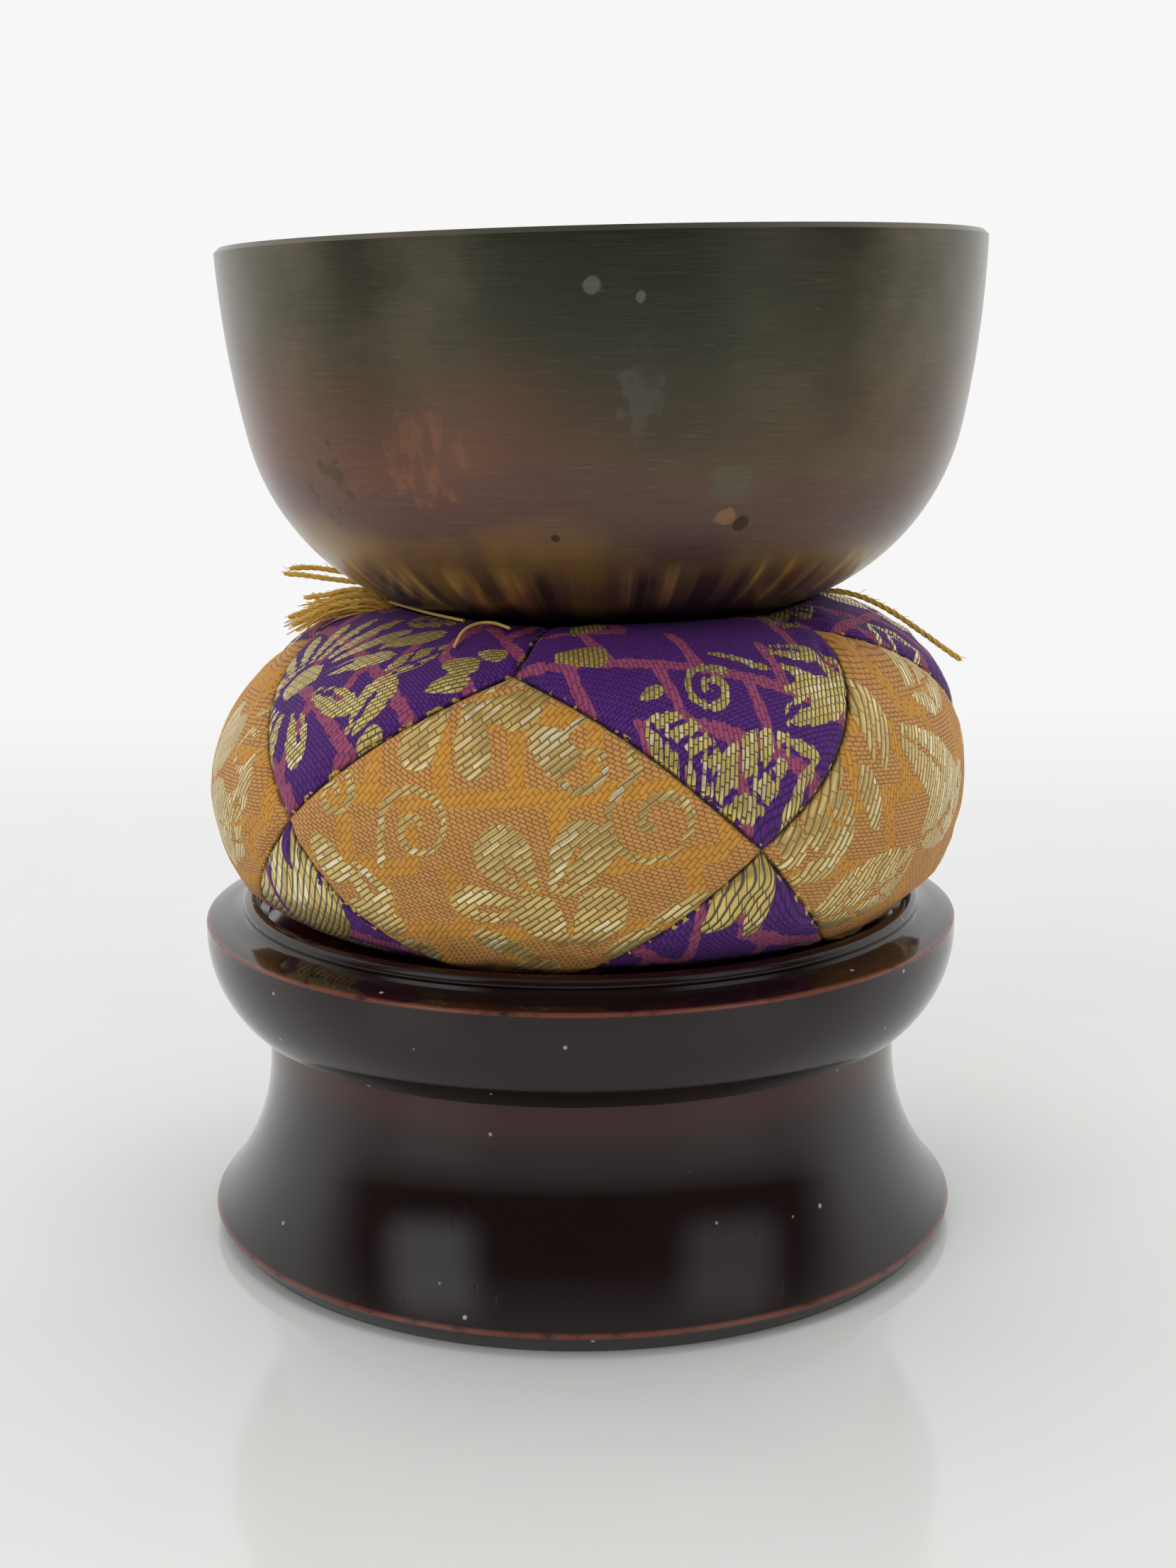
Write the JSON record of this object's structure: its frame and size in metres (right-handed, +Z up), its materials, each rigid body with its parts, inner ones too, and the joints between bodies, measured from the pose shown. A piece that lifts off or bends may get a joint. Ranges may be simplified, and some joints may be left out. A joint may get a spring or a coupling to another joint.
{
  "type": "altar singing bowl with cushion and stand",
  "caption": "Bronze singing bowl resting on a round patchwork brocade cushion with loose tuft yarns, in the seat of a turned, flared, dark lacquered stand.",
  "frame": {"origin": "centre of the ring that the stand rests on", "axes": "+Z up along the stand's turned axis, -Y towards the front, +X to the right"},
  "size_m": [0.0785, 0.0772, 0.0998],
  "materials": {
    "lacquer": "glossy dark red-brown lacquer",
    "wadding": "cotton wadding in a lining",
    "brocade_purple": "purple silk brocade with gold foil thread",
    "brocade_orange": "tan and orange brocade with gold foil thread",
    "yarn": "golden yellow twisted yarn",
    "bronze": "finely turned bronze with brown and olive patina"
  },
  "bodies": {
    "stand": {"stand_base": "lacquer", "stand_dish": "lacquer"},
    "cushion": {"cushion_core": "wadding", "tuft_tie": "yarn", "tuft_knot": "yarn", "tuft_knot_below": "yarn", "patch_top_1": "brocade_purple", "patch_top_2": "brocade_purple", "patch_top_3": "brocade_purple", "patch_top_4": "brocade_purple", "patch_top_5": "brocade_purple", "patch_side_1": "brocade_orange", "patch_side_2": "brocade_orange", "patch_side_3": "brocade_orange", "patch_side_4": "brocade_orange", "patch_side_5": "brocade_orange", "patch_bottom_1": "brocade_purple", "patch_bottom_2": "brocade_purple", "patch_bottom_3": "brocade_purple", "patch_bottom_4": "brocade_purple", "patch_bottom_5": "brocade_purple", "yarn_right": "yarn", "yarn_left_high": "yarn", "yarn_left_mid": "yarn", "yarn_left_low": "yarn", "yarn_fray_high": "yarn", "yarn_fray_low": "yarn"},
    "bowl": {"bowl": "bronze"}
  },
  "joints": [
    {"name": "cushion_lift", "type": "slide", "parent": "stand", "child": "cushion", "axis": [0, 0, 1], "range_m": [0, 0.03]},
    {"name": "bowl_lift", "type": "slide", "parent": "cushion", "child": "bowl", "axis": [0, 0, 1], "range_m": [0, 0.06]}
  ]
}
